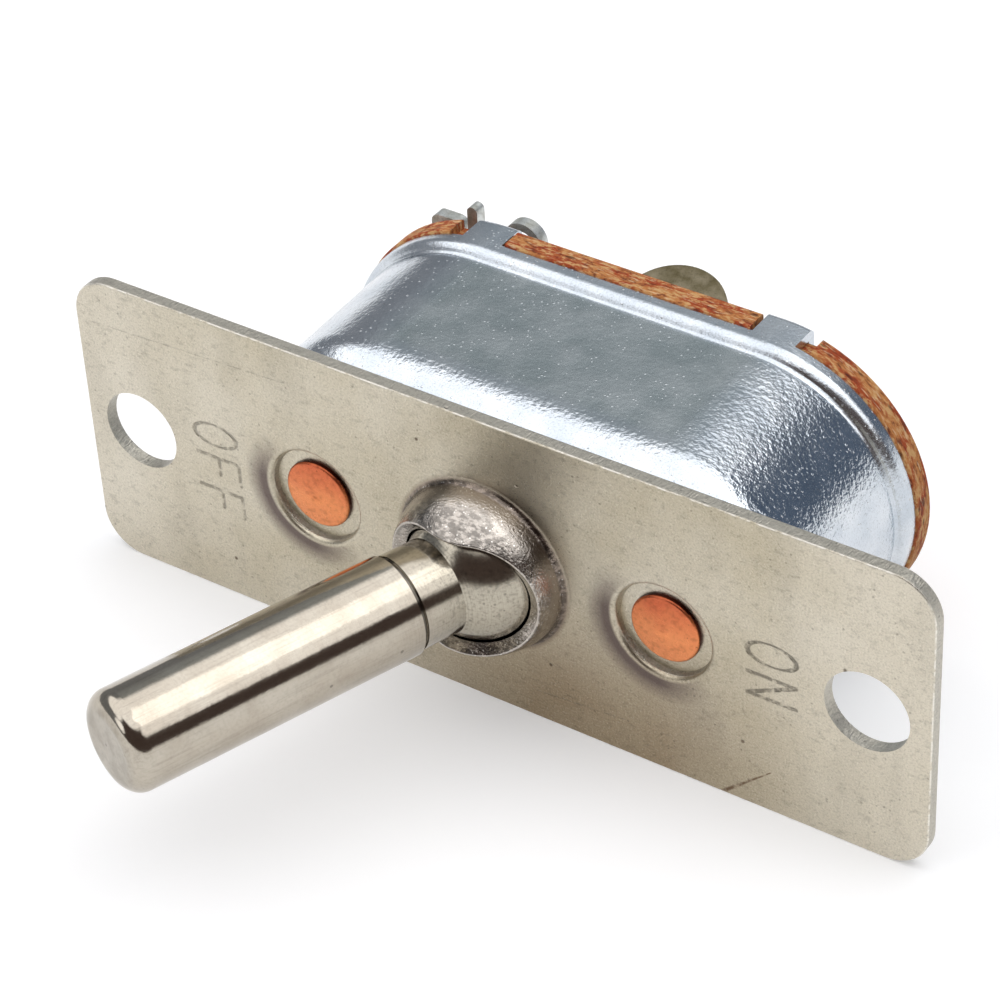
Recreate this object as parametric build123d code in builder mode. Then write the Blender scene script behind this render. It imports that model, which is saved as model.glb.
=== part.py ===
"""Panel-mounted lever switch: a flanged plate with a domed collar, a ball-jointed lever, a
drawn housing cup closed by a fibre board, and the rocking contact that the lever drives.

Frame, in millimetres: X runs along the mounting plate, with the OFF end at -X. Y runs from
the lever (-Y) to the terminals (+Y), and the plate's rear face is y = 0. Z is up. The collar's
axis is the Y axis. The lever is drawn in its OFF position, leaning towards -X.
"""
from build123d import *
from math import asin, atan, cos, degrees, radians, sin, sqrt, tan
import os

# ---------------------------------------------------------------- mounting plate
plate_length = 58.0
plate_height = 20.4
plate_thickness = 0.9
plate_corner_radius = 2.7
plate_edge_round = 0.12
mounting_hole_inset = 4.0
mounting_hole_diameter = 5.3

# ---------------------------------------------------------------- domed collar
dome_outer_radius = 5.5
dome_wall = 0.8
dome_foot_fillet = 0.45
slot_width = 8.0
slot_edge_round = 0.1

# ---------------------------------------------------------------- rivet recesses
rivet_spacing = 24.0
recess_floor_radius = 3.05
recess_depth = 0.6
recess_wall_slope = 0.15
recess_mouth_round = 0.35
boss_wall = 0.6

# ---------------------------------------------------------------- lever
lever_swing = 20.0
ball_clearance = 0.12
ball_behind_front_face = 0.25
lever_diameter = 6.2
lever_reach = 25.3
lever_tip_round = 1.15
neck_diameter = 5.9
neck_reach = 6.4
undercut_width = 0.35
undercut_depth = 0.15
tail_diameter = 4.6
tail_reach = 6.2
tail_bore_depth = 7.2

# ---------------------------------------------------------------- plunger and spring
plunger_diameter = 2.6
plunger_clearance = 0.08
plunger_root = 3.6
spring_wire = 0.3
spring_coils = 6
spring_clearance = 0.15

# ---------------------------------------------------------------- housing cup
cup_sheet = 0.6
cup_rim_half_length = 19.5
cup_side_inset = 0.35
cup_rim_half_width = plate_height / 2 - cup_side_inset
cup_rim_y = 14.7
lip_height = 1.35
lip_step = 0.4
lip_flare = 0.55
lip_bend_round = 0.3
lip_shoulder_round = 0.7
cup_draft = 1.0
cup_bottom_radius = 3.3
cup_opening_clearance = 0.35
tab_width = 2.8
tab_offset = 10.05
tab_flap = 3.0
tab_bend_round = 0.5

# ---------------------------------------------------------------- base board
board_thickness = 1.6
board_overhang = 0.15
board_edge_round = 0.2
notch_width = 4.0
notch_offset = 10.45
notch_clearance = 0.15

# ---------------------------------------------------------------- ball seat and rivets
seat_thickness = 1.0
seat_end_margin = 2.8
seat_half_width = 5.6
rivet_shank_diameter = 3.0
rivet_head_diameter = 4.5
rivet_head_height = 0.5
rivet_head_crown = 0.18
rivet_head_round = 0.2
rivet_tail_height = 0.7
rivet_clearance = 0.05

# ---------------------------------------------------------------- insulating liner
liner_thickness = 0.3
liner_clearance = 0.1
liner_front_y = 5.4

# ---------------------------------------------------------------- rocking contact
rocker_swing = 8.0
pivot_to_board = 3.5
plunger_to_pivot = 1.95
rocker_strip = 0.8
rocker_width = 4.4
rocker_gap = 0.15
saddle_half_width = 3.8
shoulder_x = 4.75
arm_start_x = 6.8
arm_end_x = 9.2
arm_rear = 0.34
rocker_ear = 0.7
rocker_ear_radius = 1.5
rocker_pin_diameter = 1.6
pin_clearance = 0.06
press_clearance = 0.01

# ---------------------------------------------------------------- fixed contacts and support
contact_strip = 0.6
contact_strip_width = 4.8
button_diameter = 3.0
button_height = 0.5
button_round = 0.12
contact_gap = 0.08
contact_x = 7.9
on_strip_outer_x = 13.2
on_strip_inner_x = 6.3
stop_clearance = 0.1
stop_length = 3.4
stop_width = 4.4
support_sheet = 0.8
support_clearance = 0.5
support_half_length = 3.2
support_cheek_radius = 1.7

# ---------------------------------------------------------------- terminals and their rivets
terminal_sheet = 0.8
small_rivet_diameter = 1.6
small_head_diameter = 2.6
small_head_height = 0.45
small_rivet_clearance = 0.02
common_rivet_offset = 2.0
on_rivet_x = 11.4
on_rivet_offset = 1.5
common_lug_x = 0.36
common_lug_radius = 3.56
common_foot_margin = 0.4
common_lug_lean = 70.0
common_foot_half_height = 2.0
common_bend_z = 4.4
common_lug_rise = 2.5
solder_hole_diameter = 2.4
on_foot_half_height = 2.8
on_step_height = 2.0
on_riser_z = 3.2
on_flange_outer_x = 16.4
on_flange_top_z = 6.2
eye_x = 9.65
eye_z = 7.6
eye_radius = 1.35
eye_hole_radius = 0.8
wide_claw_width = 2.3
wide_claw_top_z = 7.6
narrow_claw_width = 0.75
narrow_claw_x = 13.3
narrow_claw_top_z = 8.95

# ---------------------------------------------------------------- worked out from the above
plate_front = -plate_thickness
mounting_hole_spacing = plate_length - 2 * mounting_hole_inset
ball_y = plate_front + ball_behind_front_face
dome_inner_radius = dome_outer_radius - dome_wall
ball_radius = dome_inner_radius - ball_clearance
boss_y = recess_depth
cup_front_y = boss_y
cup_floor_y = cup_front_y + cup_sheet
seat_rear_y = cup_floor_y + seat_thickness
board_rear_y = cup_rim_y + board_thickness
board_half_length = cup_rim_half_length + board_overhang
board_half_width = cup_rim_half_width + board_overhang
plunger_radius = plunger_diameter / 2
bore_radius = plunger_radius + plunger_clearance
rocker_pivot_y = cup_rim_y - pivot_to_board
plunger_reach = rocker_pivot_y - plunger_to_pivot - ball_y
plunger_centre_reach = plunger_reach - plunger_radius
support_floor_y = cup_rim_y - support_sheet
contact_face_y = cup_rim_y - contact_strip
cheek_inner_z = rocker_width / 2 + support_clearance
cheek_outer_z = cheek_inner_z + support_sheet

# The plunger's centre swings about the ball while the rocker swings the other way about its
# pin. Seen from the rocker, that centre runs along a curve that a circle through its middle
# and end points follows, so the saddle is an arc about the same centre.
end_x = plunger_centre_reach * sin(radians(lever_swing))
end_y = ball_y + plunger_centre_reach * cos(radians(lever_swing)) - rocker_pivot_y
path_end_x = end_x * cos(radians(rocker_swing)) + end_y * sin(radians(rocker_swing))
path_end_y = end_y * cos(radians(rocker_swing)) - end_x * sin(radians(rocker_swing))
path_middle_y = ball_y + plunger_centre_reach - rocker_pivot_y
path_rise = path_middle_y - path_end_y
path_radius = (path_end_x**2 + path_rise**2) / (2 * path_rise)
saddle_centre_y = path_middle_y - path_radius
saddle_radius = path_radius + plunger_radius + rocker_gap

# ---------------------------------------------------------------- working planes
def leaning(angle):
    """Direction forwards from the plate, leaning by angle towards -X."""
    return Vector(-sin(radians(angle)), -cos(radians(angle)), 0)


lever_axis_direction = leaning(lever_swing)
lever_plane = Plane(origin=(0, ball_y, 0), x_dir=lever_axis_direction, z_dir=(0, 0, 1))
lever_axis = Axis((0, ball_y, 0), lever_axis_direction)
rocker_plane = Plane(
    origin=(0, rocker_pivot_y, 0),
    x_dir=(cos(radians(rocker_swing)), sin(radians(rocker_swing)), 0),
    z_dir=(0, 0, 1),
)


def facing_front(y):
    """Plane across the switch at depth y, seen from the lever side: local Y is up."""
    return Plane.XZ.offset(-y)


def facing_rear(y):
    """Plane across the switch at depth y, whose normal points to the terminals."""
    return Plane(origin=(0, y, 0), x_dir=(1, 0, 0), z_dir=(0, 1, 0))


def finish(piece, name):
    """Label a finished piece and write it to its STEP file."""
    piece.part.label = name
    export_step(piece.part, f"parts/{name}.step")


os.makedirs("parts", exist_ok=True)

# ================================================================ mounting plate
dome_foot_radius = sqrt(dome_outer_radius**2 - (plate_front - ball_y) ** 2)
dome_skirt_radius = dome_foot_radius + 2 * dome_foot_fillet
recess_mouth_radius = recess_floor_radius + recess_wall_slope
recess_wall_angle = degrees(atan(recess_wall_slope / recess_depth))
slot_reach = dome_outer_radius
slot_flare = slot_reach * tan(asin(slot_width / 2 / dome_outer_radius))
slot_plane = Plane((0, ball_y, 0), x_dir=lever_axis_direction, z_dir=leaning(lever_swing + 90))
ball_hinge = Axis((0, ball_y, 0), (0, 0, 1))
rivet_places = [(-rivet_spacing / 2, 0), (rivet_spacing / 2, 0)]
hole_places = [(-mounting_hole_spacing / 2, 0), (mounting_hole_spacing / 2, 0)]


def is_on_dome(edge):
    """Tell whether an edge lies on the dome's outer surface, clear of its foot."""
    middle = edge @ 0.5
    off_surface = (middle - Vector(0, ball_y, 0)).length - dome_outer_radius
    return abs(off_surface) < dome_wall / 100 and middle.Y < ball_y - dome_outer_radius / 4


with BuildPart() as mounting_plate:
    with BuildSketch(facing_rear(plate_front)):
        RectangleRounded(plate_length, plate_height, plate_corner_radius)
    extrude(amount=plate_thickness)
    fillet(mounting_plate.edges().filter_by(Plane.XZ), plate_edge_round)
    # half dome with its foot blended into the plate, hollowed by the ball's socket
    with BuildSketch(Plane.XY) as dome_profile:
        with BuildLine():
            foot = (dome_foot_radius, plate_front)
            apex = (0, ball_y - dome_outer_radius)
            RadiusArc(foot, apex, dome_outer_radius)
            Polyline(apex, (0, 0), (dome_skirt_radius, 0), (dome_skirt_radius, plate_front), foot)
        make_face()
        fillet(dome_profile.vertices().sort_by_distance(foot)[0], dome_foot_fillet)
    revolve(axis=Axis.Y)
    with Locations((0, ball_y, 0)):
        Sphere(dome_inner_radius, mode=Mode.SUBTRACT)
    # dimples pressed rearwards for the rivet heads
    with BuildSketch(facing_rear(0)):
        with Locations(*rivet_places):
            Circle(recess_mouth_radius + boss_wall)
    extrude(amount=boss_y, taper=recess_wall_angle)
    with BuildSketch(facing_front(plate_front + recess_depth)):
        with Locations(*rivet_places):
            Circle(recess_floor_radius)
    extrude(amount=recess_depth, taper=-recess_wall_angle, mode=Mode.SUBTRACT)
    mouths = mounting_plate.faces().filter_by(GeomType.CONE).edges().group_by(Axis.Y)[0]
    fillet(mouths, recess_mouth_round)
    # the slot is a round opening, square to the dome's surface, swung through the lever's travel
    with BuildSketch(slot_plane):
        Polygon((0, 0), (slot_reach, -slot_flare), (slot_reach, slot_flare), align=None)
    revolve(axis=ball_hinge, revolution_arc=2 * lever_swing, mode=Mode.SUBTRACT)
    for lean in (lever_swing, -lever_swing):
        with BuildSketch(Plane((0, ball_y, 0), x_dir=leaning(lean), z_dir=(0, 0, 1))):
            Polygon((0, 0), (slot_reach, 0), (slot_reach, slot_flare), align=None)
        revolve(axis=Axis((0, ball_y, 0), leaning(lean)), mode=Mode.SUBTRACT)
    fillet(mounting_plate.edges().filter_by(is_on_dome), slot_edge_round)
    with BuildSketch(facing_rear(plate_front)):
        with Locations(*rivet_places):
            Circle(rivet_shank_diameter / 2 + rivet_clearance)
        with Locations(*hole_places):
            Circle(mounting_hole_diameter / 2)
    extrude(amount=plate_thickness + boss_y, mode=Mode.SUBTRACT)
finish(mounting_plate, "mounting_plate")

# ================================================================ lever
neck_radius = neck_diameter / 2
lever_radius = lever_diameter / 2
tail_radius = tail_diameter / 2
neck_start = sqrt(ball_radius**2 - neck_radius**2)
undercut_start = neck_reach - undercut_width
tail_start = sqrt(ball_radius**2 - tail_radius**2)

with BuildPart() as lever:
    with BuildSketch(lever_plane):
        with BuildLine():
            Polyline((-tail_reach, 0), (-tail_reach, tail_radius), (-tail_start, tail_radius))
            ThreePointArc((-tail_start, tail_radius), (0, ball_radius), (neck_start, neck_radius))
            Polyline(
                (neck_start, neck_radius),
                (undercut_start, neck_radius),
                (undercut_start, neck_radius - undercut_depth),
                (neck_reach, neck_radius - undercut_depth),
                (neck_reach, lever_radius),
            )
            tip_start = (lever_reach - lever_tip_round, lever_radius)
            tip_end = (lever_reach, lever_radius - lever_tip_round)
            Line((neck_reach, lever_radius), tip_start)
            TangentArc(tip_start, tip_end, tangent=(1, 0))
            Polyline(tip_end, (lever_reach, 0), (-tail_reach, 0))
        make_face()
    revolve(axis=lever_axis)
    with BuildSketch(lever_plane):
        with Locations((-tail_reach, 0)):
            Rectangle(tail_bore_depth, bore_radius, align=(Align.MIN, Align.MIN))
    revolve(axis=lever_axis, mode=Mode.SUBTRACT)
finish(lever, "lever")

# ================================================================ plunger and its spring
with BuildPart() as plunger:
    with BuildSketch(lever_plane):
        with BuildLine():
            round_start = (-plunger_centre_reach, plunger_radius)
            Polyline((-plunger_root, 0), (-plunger_root, plunger_radius), round_start)
            CenterArc((-plunger_centre_reach, 0), plunger_radius, 90, 90)
            Line((-plunger_reach, 0), (-plunger_root, 0))
        make_face()
    revolve(axis=lever_axis)
finish(plunger, "plunger")

spring_radius = bore_radius - spring_clearance - spring_wire / 2
spring_front = tail_bore_depth - tail_reach - spring_wire / 2
spring_length = spring_front + plunger_root - spring_wire / 2
spring_base = lever_plane.from_local_coords((spring_front, 0, 0))

with BuildPart() as plunger_spring:
    with BuildLine():
        coil = Helix(
            pitch=spring_length / spring_coils,
            height=spring_length,
            radius=spring_radius,
            center=spring_base,
            direction=-lever_axis_direction,
        )
    with BuildSketch(Plane(origin=coil @ 0, z_dir=coil % 0)):
        RegularPolygon(spring_wire / 2, 8)
    sweep(is_frenet=True)
finish(plunger_spring, "plunger_spring")

# ================================================================ housing cup
cup_wall_half_length = cup_rim_half_length - lip_flare
cup_wall_half_width = cup_rim_half_width - lip_flare
lip_y = cup_rim_y - lip_height
lip_angle = degrees(atan(lip_flare / lip_step))
tab_top_y = board_rear_y + cup_sheet
tab_places = [(x, side * cup_rim_half_width) for x in (-tab_offset, tab_offset) for side in (-1, 1)]
opening_radius = sqrt(ball_radius**2 - (cup_front_y - ball_y) ** 2) + cup_opening_clearance


def cup_form(inset, bend_round, shoulder_round):
    """Solid cup shrunk by inset: a drafted wall with a rounded floor, stepped out to the rim."""
    floor_y = cup_front_y + inset
    bend_y = lip_y + inset * tan(radians(lip_angle / 2))
    shoulder_y = bend_y + lip_step
    narrowing = (bend_y - floor_y) * tan(radians(cup_draft))
    half_length = cup_wall_half_length - inset
    half_width = cup_wall_half_width - inset
    with BuildPart() as form:
        with BuildSketch(facing_rear(floor_y)):
            SlotOverall(2 * (half_length - narrowing), 2 * (half_width - narrowing))
        extrude(amount=bend_y - floor_y, taper=-cup_draft)
        fillet(form.faces().sort_by(Axis.Y)[0].edges(), cup_bottom_radius - inset)
        with BuildSketch(facing_rear(bend_y)):
            SlotOverall(2 * half_length, 2 * half_width)
        extrude(amount=lip_step, taper=-lip_angle)
        with BuildSketch(facing_rear(shoulder_y)):
            SlotOverall(2 * (half_length + lip_flare), 2 * (half_width + lip_flare))
        extrude(amount=cup_rim_y - shoulder_y)
        levels = form.edges().filter_by(Plane.XZ).group_by(Axis.Y)
        fillet(levels[-2], shoulder_round)
        levels = form.edges().filter_by(Plane.XZ).group_by(Axis.Y)
        fillet(levels[-4], bend_round)
    return form.part


cup_outside = cup_form(0, lip_bend_round, lip_shoulder_round)
cup_inside = cup_form(cup_sheet, lip_bend_round + cup_sheet, lip_shoulder_round - cup_sheet)

with BuildPart() as cup_tabs:
    with BuildSketch(facing_front(cup_rim_y)):
        SlotOverall(2 * cup_rim_half_length, 2 * cup_rim_half_width)
    extrude(amount=-(tab_top_y - cup_rim_y))
    fillet(cup_tabs.faces().sort_by(Axis.Y)[-1].edges(), tab_bend_round)
    with BuildSketch(facing_front(cup_rim_y)):
        SlotOverall(2 * (cup_rim_half_length - cup_sheet), 2 * (cup_rim_half_width - cup_sheet))
    extrude(amount=-(board_rear_y - cup_rim_y), mode=Mode.SUBTRACT)
    with BuildSketch(facing_front(cup_rim_y)):
        with Locations(*tab_places):
            Rectangle(tab_width, 2 * tab_flap)
    extrude(amount=-(tab_top_y - cup_rim_y), mode=Mode.INTERSECT)

with BuildPart() as housing_cup:
    add(cup_outside)
    add(cup_inside, mode=Mode.SUBTRACT)
    with BuildSketch(facing_rear(cup_front_y)):
        Circle(opening_radius)
        with Locations(*rivet_places):
            Circle(rivet_shank_diameter / 2 + rivet_clearance)
    extrude(amount=cup_sheet, mode=Mode.SUBTRACT)
    add(cup_tabs.part)
finish(housing_cup, "housing_cup")

# ================================================================ ball seat
with BuildPart() as ball_seat:
    with BuildSketch(facing_rear(cup_floor_y)):
        SlotOverall(rivet_spacing + 2 * seat_end_margin, 2 * seat_half_width)
        with Locations(*rivet_places):
            Circle(rivet_shank_diameter / 2 + rivet_clearance, mode=Mode.SUBTRACT)
    extrude(amount=seat_thickness)
    with Locations((0, ball_y, 0)):
        Sphere(dome_inner_radius, mode=Mode.SUBTRACT)
finish(ball_seat, "ball_seat")

# ================================================================ copper plate rivets
rivet_seat_y = plate_front + recess_depth


def plate_rivet(x, name):
    """Copper rivet: a low crowned head in the recess, and a set head behind the ball seat."""
    shank_radius = rivet_shank_diameter / 2
    head_radius = rivet_head_diameter / 2
    head_front_y = rivet_seat_y - rivet_head_height
    tail_rear_y = seat_rear_y + rivet_tail_height
    with BuildPart() as rivet:
        with BuildSketch(Plane((x, 0, 0))) as profile:
            with BuildLine():
                rim = (head_radius, head_front_y + rivet_head_crown)
                tail_rim = (head_radius, tail_rear_y - rivet_head_crown)
                TangentArc((0, head_front_y), rim, tangent=(1, 0))
                Polyline(
                    rim,
                    (head_radius, rivet_seat_y),
                    (shank_radius, rivet_seat_y),
                    (shank_radius, seat_rear_y),
                    (head_radius, seat_rear_y),
                    tail_rim,
                )
                TangentArc((0, tail_rear_y), tail_rim, tangent=(1, 0))
                Line((0, tail_rear_y), (0, head_front_y))
            make_face()
            fillet(profile.vertices().sort_by_distance(rim)[0], rivet_head_round)
        revolve(axis=Axis((x, 0, 0), (0, 1, 0)))
    finish(rivet, name)


plate_rivet(-rivet_spacing / 2, "plate_rivet_left")
plate_rivet(rivet_spacing / 2, "plate_rivet_right")

# ================================================================ insulating liner
liner_inset = cup_sheet + liner_clearance + (lip_y - liner_front_y) * tan(radians(cup_draft))
liner_half_length = cup_wall_half_length - liner_inset
liner_half_width = cup_wall_half_width - liner_inset

with BuildPart() as insulating_liner:
    with BuildSketch(facing_rear(liner_front_y)):
        SlotOverall(2 * liner_half_length, 2 * liner_half_width)
        SlotOverall(
            2 * (liner_half_length - liner_thickness),
            2 * (liner_half_width - liner_thickness),
            mode=Mode.SUBTRACT,
        )
    extrude(amount=cup_rim_y - liner_front_y)
finish(insulating_liner, "insulating_liner")

# ================================================================ base board
small_hole_radius = small_rivet_diameter / 2 + small_rivet_clearance
common_rivets = [(-common_rivet_offset, 0), (common_rivet_offset, 0)]
on_rivets = [(-on_rivet_x, on_rivet_offset), (-on_rivet_x, -on_rivet_offset)]
stop_x = arm_end_x * cos(radians(rocker_swing)) - stop_length / 2
# the notches clear the inner face of the tabs where the wall has begun to curve
tab_outer_x = tab_offset + tab_width / 2 - (cup_rim_half_length - cup_rim_half_width)
tab_fall = cup_rim_half_width - sqrt((cup_rim_half_width - cup_sheet) ** 2 - tab_outer_x**2)
notch_depth = tab_fall + notch_clearance
notch_places = [(x, side * cup_rim_half_width) for x in (-notch_offset, notch_offset) for side in (-1, 1)]

with BuildPart() as base_board:
    with BuildSketch(facing_front(cup_rim_y)):
        SlotOverall(2 * board_half_length, 2 * board_half_width)
    extrude(amount=-board_thickness)
    rims = base_board.edges().filter_by(Plane.XZ)
    fillet(rims, board_edge_round)
    with BuildSketch(facing_front(cup_rim_y)):
        with Locations(*notch_places):
            Rectangle(notch_width, 2 * notch_depth)
        with Locations(*common_rivets, *on_rivets, (stop_x, 0)):
            Circle(small_hole_radius)
    extrude(amount=-board_thickness, mode=Mode.SUBTRACT)
finish(base_board, "base_board")

# ================================================================ rocking contact
saddle_edge_y = saddle_centre_y + sqrt(saddle_radius**2 - saddle_half_width**2)
saddle_back_radius = saddle_radius + rocker_strip
saddle_back_x = saddle_half_width * saddle_back_radius / saddle_radius
saddle_back_y = saddle_centre_y + sqrt(saddle_back_radius**2 - saddle_back_x**2)
arm_front = arm_rear - rocker_strip

with BuildPart() as rocker_contact:
    with BuildSketch(rocker_plane):
        with BuildLine():
            front_edge = (saddle_half_width, saddle_edge_y)
            back_edge = (saddle_back_x, saddle_back_y)
            ThreePointArc(
                (-saddle_half_width, saddle_edge_y),
                (0, saddle_centre_y + saddle_radius),
                front_edge,
            )
            Polyline(
                front_edge,
                (shoulder_x, saddle_edge_y),
                (arm_start_x, arm_front),
                (arm_end_x, arm_front),
                (arm_end_x, arm_rear),
                (arm_start_x - rocker_strip / 2, arm_rear),
                back_edge,
            )
            ThreePointArc(
                back_edge,
                (0, saddle_centre_y + saddle_back_radius),
                (-saddle_back_x, saddle_back_y),
            )
            Polyline(
                (-saddle_back_x, saddle_back_y),
                (-arm_start_x + rocker_strip / 2, arm_rear),
                (-arm_end_x, arm_rear),
                (-arm_end_x, arm_front),
                (-arm_start_x, arm_front),
                (-shoulder_x, saddle_edge_y),
                (-saddle_half_width, saddle_edge_y),
            )
        make_face()
    extrude(amount=rocker_width / 2, both=True)
    ear_top_y = saddle_centre_y + saddle_radius + rocker_strip / 2
    for side in (-1, 1):
        with BuildSketch(rocker_plane.offset(side * (rocker_width / 2 - rocker_ear / 2))):
            Circle(rocker_ear_radius)
            with Locations((0, ear_top_y / 2)):
                Rectangle(2 * rocker_ear_radius, -ear_top_y)
            Circle(rocker_pin_diameter / 2 + pin_clearance, mode=Mode.SUBTRACT)
        extrude(amount=rocker_ear / 2, both=True)
finish(rocker_contact, "rocker_contact")

with BuildPart() as rocker_pin:
    with BuildSketch(Plane.XY.offset(-cheek_outer_z)):
        with Locations((0, rocker_pivot_y)):
            Circle(rocker_pin_diameter / 2)
    extrude(amount=2 * cheek_outer_z)
finish(rocker_pin, "rocker_pin")

with BuildPart() as moving_contact_button:
    button_plane = Plane(
        origin=rocker_plane.from_local_coords((-contact_x, arm_rear, 0)),
        x_dir=rocker_plane.x_dir,
        z_dir=rocker_plane.y_dir,
    )
    with BuildSketch(button_plane):
        Circle(button_diameter / 2)
    extrude(amount=button_height)
    fillet(moving_contact_button.faces().sort_by(Axis.Y)[-1].edges(), button_round)
finish(moving_contact_button, "moving_contact_button")

# ================================================================ rocker support
with BuildPart() as rocker_support:
    with BuildSketch(facing_front(cup_rim_y)):
        Rectangle(2 * support_half_length, 2 * cheek_outer_z)
        with Locations(*common_rivets):
            Circle(small_hole_radius, mode=Mode.SUBTRACT)
    extrude(amount=support_sheet)
    for side in (-1, 1):
        with BuildSketch(Plane.XY.offset(side * (cheek_inner_z + cheek_outer_z) / 2)):
            with Locations((0, rocker_pivot_y)):
                Circle(support_cheek_radius)
            with Locations((0, (rocker_pivot_y + cup_rim_y) / 2)):
                Rectangle(2 * support_cheek_radius, cup_rim_y - rocker_pivot_y)
            with Locations((0, rocker_pivot_y)):
                Circle(rocker_pin_diameter / 2 + press_clearance, mode=Mode.SUBTRACT)
        extrude(amount=support_sheet / 2, both=True)
finish(rocker_support, "rocker_support")

# ================================================================ fixed contact and OFF stop
strip_centre_x = -(on_strip_outer_x + on_strip_inner_x) / 2

with BuildPart() as on_contact:
    with BuildSketch(facing_front(cup_rim_y)):
        with Locations((strip_centre_x, 0)):
            RectangleRounded(
                on_strip_outer_x - on_strip_inner_x, contact_strip_width, small_rivet_diameter / 2
            )
        with Locations(*on_rivets):
            Circle(small_hole_radius, mode=Mode.SUBTRACT)
    extrude(amount=contact_strip)
finish(on_contact, "on_contact")

# In the ON position the moving button's face lies contact_gap in front of the fixed one.
closed_face_y = (
    rocker_pivot_y
    + (arm_rear + button_height) * cos(radians(rocker_swing))
    + (contact_x + button_diameter / 2) * sin(radians(rocker_swing))
)
fixed_button_height = contact_face_y - closed_face_y - contact_gap

with BuildPart() as fixed_contact_button:
    with BuildSketch(facing_front(contact_face_y)):
        with Locations((-contact_x * cos(radians(rocker_swing)), 0)):
            Circle(button_diameter / 2)
    extrude(amount=fixed_button_height)
finish(fixed_contact_button, "fixed_contact_button")

stop_face_y = (
    rocker_pivot_y
    + arm_rear * cos(radians(rocker_swing))
    + arm_end_x * sin(radians(rocker_swing))
    + stop_clearance
)

with BuildPart() as off_stop:
    with BuildSketch(facing_front(cup_rim_y)):
        with Locations((stop_x, 0)):
            Rectangle(stop_length, stop_width)
            Circle(small_hole_radius, mode=Mode.SUBTRACT)
    extrude(amount=cup_rim_y - stop_face_y)
    with BuildSketch(facing_front(stop_face_y)):
        with Locations((stop_x, 0)):
            Circle(small_head_diameter / 2 + small_rivet_clearance)
    extrude(amount=-small_head_height, mode=Mode.SUBTRACT)
finish(off_stop, "off_stop")

# ================================================================ terminals
terminal_face_y = board_rear_y + terminal_sheet
common_foot_left = -common_rivet_offset - small_head_diameter / 2 - common_foot_margin
common_foot_right = common_lug_x + common_lug_radius
lug_plane = Plane(
    origin=(common_lug_x, board_rear_y + terminal_sheet / 2, common_bend_z),
    x_dir=(1, 0, 0),
    z_dir=(0, -cos(radians(common_lug_lean)), sin(radians(common_lug_lean))),
)

with BuildPart() as common_terminal:
    with BuildSketch(facing_front(board_rear_y)):
        with Locations(((common_foot_left + common_foot_right) / 2, 0)):
            Rectangle(common_foot_right - common_foot_left, 2 * common_foot_half_height)
        with Locations((common_lug_x, common_bend_z / 2)):
            Rectangle(2 * common_lug_radius, common_bend_z)
        with Locations(*common_rivets):
            Circle(small_hole_radius, mode=Mode.SUBTRACT)
    extrude(amount=-terminal_sheet)
    with BuildSketch(lug_plane):
        with BuildLine():
            CenterArc((0, common_lug_rise), common_lug_radius, 0, 180)
            Polyline(
                (-common_lug_radius, common_lug_rise),
                (-common_lug_radius, 0),
                (common_lug_radius, 0),
                (common_lug_radius, common_lug_rise),
            )
        make_face()
        with Locations((0, common_lug_rise)):
            Circle(solder_hole_diameter / 2, mode=Mode.SUBTRACT)
    extrude(amount=terminal_sheet / 2, both=True)
finish(common_terminal, "common_terminal")

flange_front_y = board_rear_y + on_step_height
foot_width = on_strip_outer_x - on_strip_inner_x
flange_inner_x = eye_x - eye_radius

with BuildPart() as on_terminal:
    with BuildSketch(facing_front(board_rear_y)):
        with Locations((strip_centre_x, (on_riser_z + terminal_sheet - on_foot_half_height) / 2)):
            Rectangle(foot_width, on_riser_z + terminal_sheet + on_foot_half_height)
        with Locations(*on_rivets):
            Circle(small_hole_radius, mode=Mode.SUBTRACT)
    extrude(amount=-terminal_sheet)
    with BuildSketch(facing_front(board_rear_y)):
        with Locations((strip_centre_x, on_riser_z + terminal_sheet / 2)):
            Rectangle(foot_width, terminal_sheet)
    extrude(amount=-(on_step_height + terminal_sheet))
    with BuildSketch(facing_front(flange_front_y)):
        flange_width = on_flange_outer_x - flange_inner_x
        with Locations((-on_flange_outer_x + flange_width / 2, (on_riser_z + on_flange_top_z) / 2)):
            Rectangle(flange_width, on_flange_top_z - on_riser_z)
        with Locations((-eye_x, (on_flange_top_z + eye_z) / 2)):
            Rectangle(2 * eye_radius, eye_z - on_flange_top_z)
        with Locations((-eye_x, eye_z)):
            Circle(eye_radius)
        with Locations((-on_flange_outer_x + wide_claw_width / 2, (on_riser_z + wide_claw_top_z) / 2)):
            RectangleRounded(wide_claw_width, wide_claw_top_z - on_riser_z, wide_claw_width / 4)
        with Locations((-narrow_claw_x, (on_riser_z + narrow_claw_top_z) / 2)):
            SlotOverall(narrow_claw_top_z - on_riser_z, narrow_claw_width, rotation=90)
        with Locations((-eye_x, eye_z)):
            Circle(eye_hole_radius, mode=Mode.SUBTRACT)
    extrude(amount=-terminal_sheet)
finish(on_terminal, "on_terminal")


# ================================================================ small brass rivets
def small_rivet(x, z, front_y, rear_y, name):
    """Rivet through the board, with its flat heads in front of front_y and behind rear_y."""
    with BuildPart() as rivet:
        with BuildSketch(facing_front(rear_y)):
            with Locations((x, z)):
                Circle(small_rivet_diameter / 2)
        extrude(amount=rear_y - front_y)
        with BuildSketch(facing_front(front_y), facing_front(rear_y + small_head_height)):
            with Locations((x, z)):
                Circle(small_head_diameter / 2)
        extrude(amount=small_head_height)
        ends = rivet.faces().sort_by(Axis.Y)
        chamfer(ends[0].edges() + ends[-1].edges(), small_head_height / 3)
    finish(rivet, name)


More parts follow.
